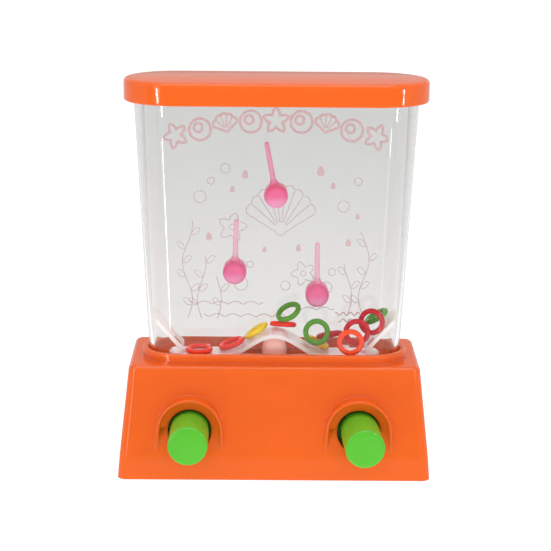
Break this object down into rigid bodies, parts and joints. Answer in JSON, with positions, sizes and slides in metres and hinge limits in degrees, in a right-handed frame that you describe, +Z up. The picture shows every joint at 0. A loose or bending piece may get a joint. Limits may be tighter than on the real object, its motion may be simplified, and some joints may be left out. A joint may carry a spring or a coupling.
{
  "type": "handheld water game",
  "caption": "Handheld water game: clear tapered tank with pegs and loose rings on a sloped base with two push buttons that squeeze pumps",
  "frame": {"origin": "middle of the flat underside, below the middle of the tank", "axes": "+Z up out of the lid, -Y towards the player (the buttons side), +X to the right as the player sees it"},
  "size_m": [0.085, 0.051, 0.1071],
  "materials": {
    "orange_plastic": "glossy, smooth moulded",
    "clear_plastic": "clear, polished",
    "pink_plastic": "glossy, slightly translucent",
    "milky_plastic": "milky, natural polyethylene",
    "cream_rubber": "soft, matt",
    "green_plastic": "glossy, smooth moulded",
    "flesh_rubber": "soft, slightly translucent",
    "screw_steel": "zinc plated",
    "ring_green": "glossy",
    "ring_yellow": "glossy",
    "ring_red": "glossy",
    "ring_orange": "glossy, slightly translucent",
    "ring_crimson": "glossy, slightly translucent"
  },
  "bodies": {
    "case": {"lid": "orange_plastic", "tank": "clear_plastic", "deck": "clear_plastic", "top_peg": "pink_plastic", "left_peg": "pink_plastic", "right_peg": "pink_plastic", "left_jet": "clear_plastic", "right_jet": "clear_plastic", "left_feed_tube": "cream_rubber", "right_feed_tube": "cream_rubber", "left_pump_chamber": "milky_plastic", "right_pump_chamber": "milky_plastic", "left_bellows": "cream_rubber", "right_bellows": "cream_rubber", "base_shell": "orange_plastic", "bottom_cover": "orange_plastic", "cover_screws": "screw_steel"},
    "left_button": {"left_button": "green_plastic"},
    "right_button": {"right_button": "green_plastic"},
    "filler_plug": {"filler_plug": "flesh_rubber"},
    "ring_green_1": {"ring_green_1": "ring_green"},
    "ring_green_2": {"ring_green_2": "ring_green"},
    "ring_green_3": {"ring_green_3": "ring_green"},
    "ring_yellow_1": {"ring_yellow_1": "ring_yellow"},
    "ring_yellow_2": {"ring_yellow_2": "ring_yellow"},
    "ring_red_1": {"ring_red_1": "ring_red"},
    "ring_red_2": {"ring_red_2": "ring_red"},
    "ring_red_3": {"ring_red_3": "ring_red"},
    "ring_orange_1": {"ring_orange_1": "ring_orange"},
    "ring_crimson_1": {"ring_crimson_1": "ring_crimson"},
    "ring_crimson_2": {"ring_crimson_2": "ring_crimson"},
    "ring_crimson_3": {"ring_crimson_3": "ring_crimson"}
  },
  "joints": [
    {"name": "left_press", "type": "slide", "parent": "case", "child": "left_button", "axis": [0, 1, 0], "range_m": [0, 0.006], "stiffness_N_per_m": 400, "deforming": ["left_bellows"]},
    {"name": "right_press", "type": "slide", "parent": "case", "child": "right_button", "axis": [-0.0593, 0.9979, 0.0279], "range_m": [0, 0.006], "stiffness_N_per_m": 400, "deforming": ["right_bellows"]},
    {"name": "plug_pull", "type": "slide", "parent": "case", "child": "filler_plug", "axis": [0, 0, -1], "range_m": [0, 0.0092]},
    {"name": "ring_green_1_drift", "type": "slide", "parent": "case", "child": "ring_green_1", "axis": [0, 0, 1], "range_m": [0, 0.02]},
    {"name": "ring_green_2_drift", "type": "slide", "parent": "case", "child": "ring_green_2", "axis": [0, 0, 1], "range_m": [0, 0.02]},
    {"name": "ring_green_3_drift", "type": "slide", "parent": "case", "child": "ring_green_3", "axis": [0, 0, 1], "range_m": [0, 0.02]},
    {"name": "ring_yellow_1_drift", "type": "slide", "parent": "case", "child": "ring_yellow_1", "axis": [0, 0, 1], "range_m": [0, 0.012]},
    {"name": "ring_yellow_2_drift", "type": "slide", "parent": "case", "child": "ring_yellow_2", "axis": [-0.9404, 0, 0.3401], "range_m": [0, 0.002]},
    {"name": "ring_red_1_drift", "type": "slide", "parent": "case", "child": "ring_red_1", "axis": [1, 0, 0], "range_m": [0, 0.007]},
    {"name": "ring_red_2_drift", "type": "slide", "parent": "case", "child": "ring_red_2", "axis": [-0.4983, 0, 0.867], "range_m": [0, 0.01]},
    {"name": "ring_red_3_drift", "type": "slide", "parent": "case", "child": "ring_red_3", "axis": [0, 0, 1], "range_m": [0, 0.02]},
    {"name": "ring_orange_1_drift", "type": "slide", "parent": "case", "child": "ring_orange_1", "axis": [0, 0, 1], "range_m": [0, 0.02]},
    {"name": "ring_crimson_1_drift", "type": "slide", "parent": "case", "child": "ring_crimson_1", "axis": [0, 0, 1], "range_m": [0, 0.02]},
    {"name": "ring_crimson_2_drift", "type": "slide", "parent": "case", "child": "ring_crimson_2", "axis": [0, 0, 1], "range_m": [0, 0.02]},
    {"name": "ring_crimson_3_drift", "type": "slide", "parent": "case", "child": "ring_crimson_3", "axis": [0, 0, 1], "range_m": [0, 0.006]}
  ]
}
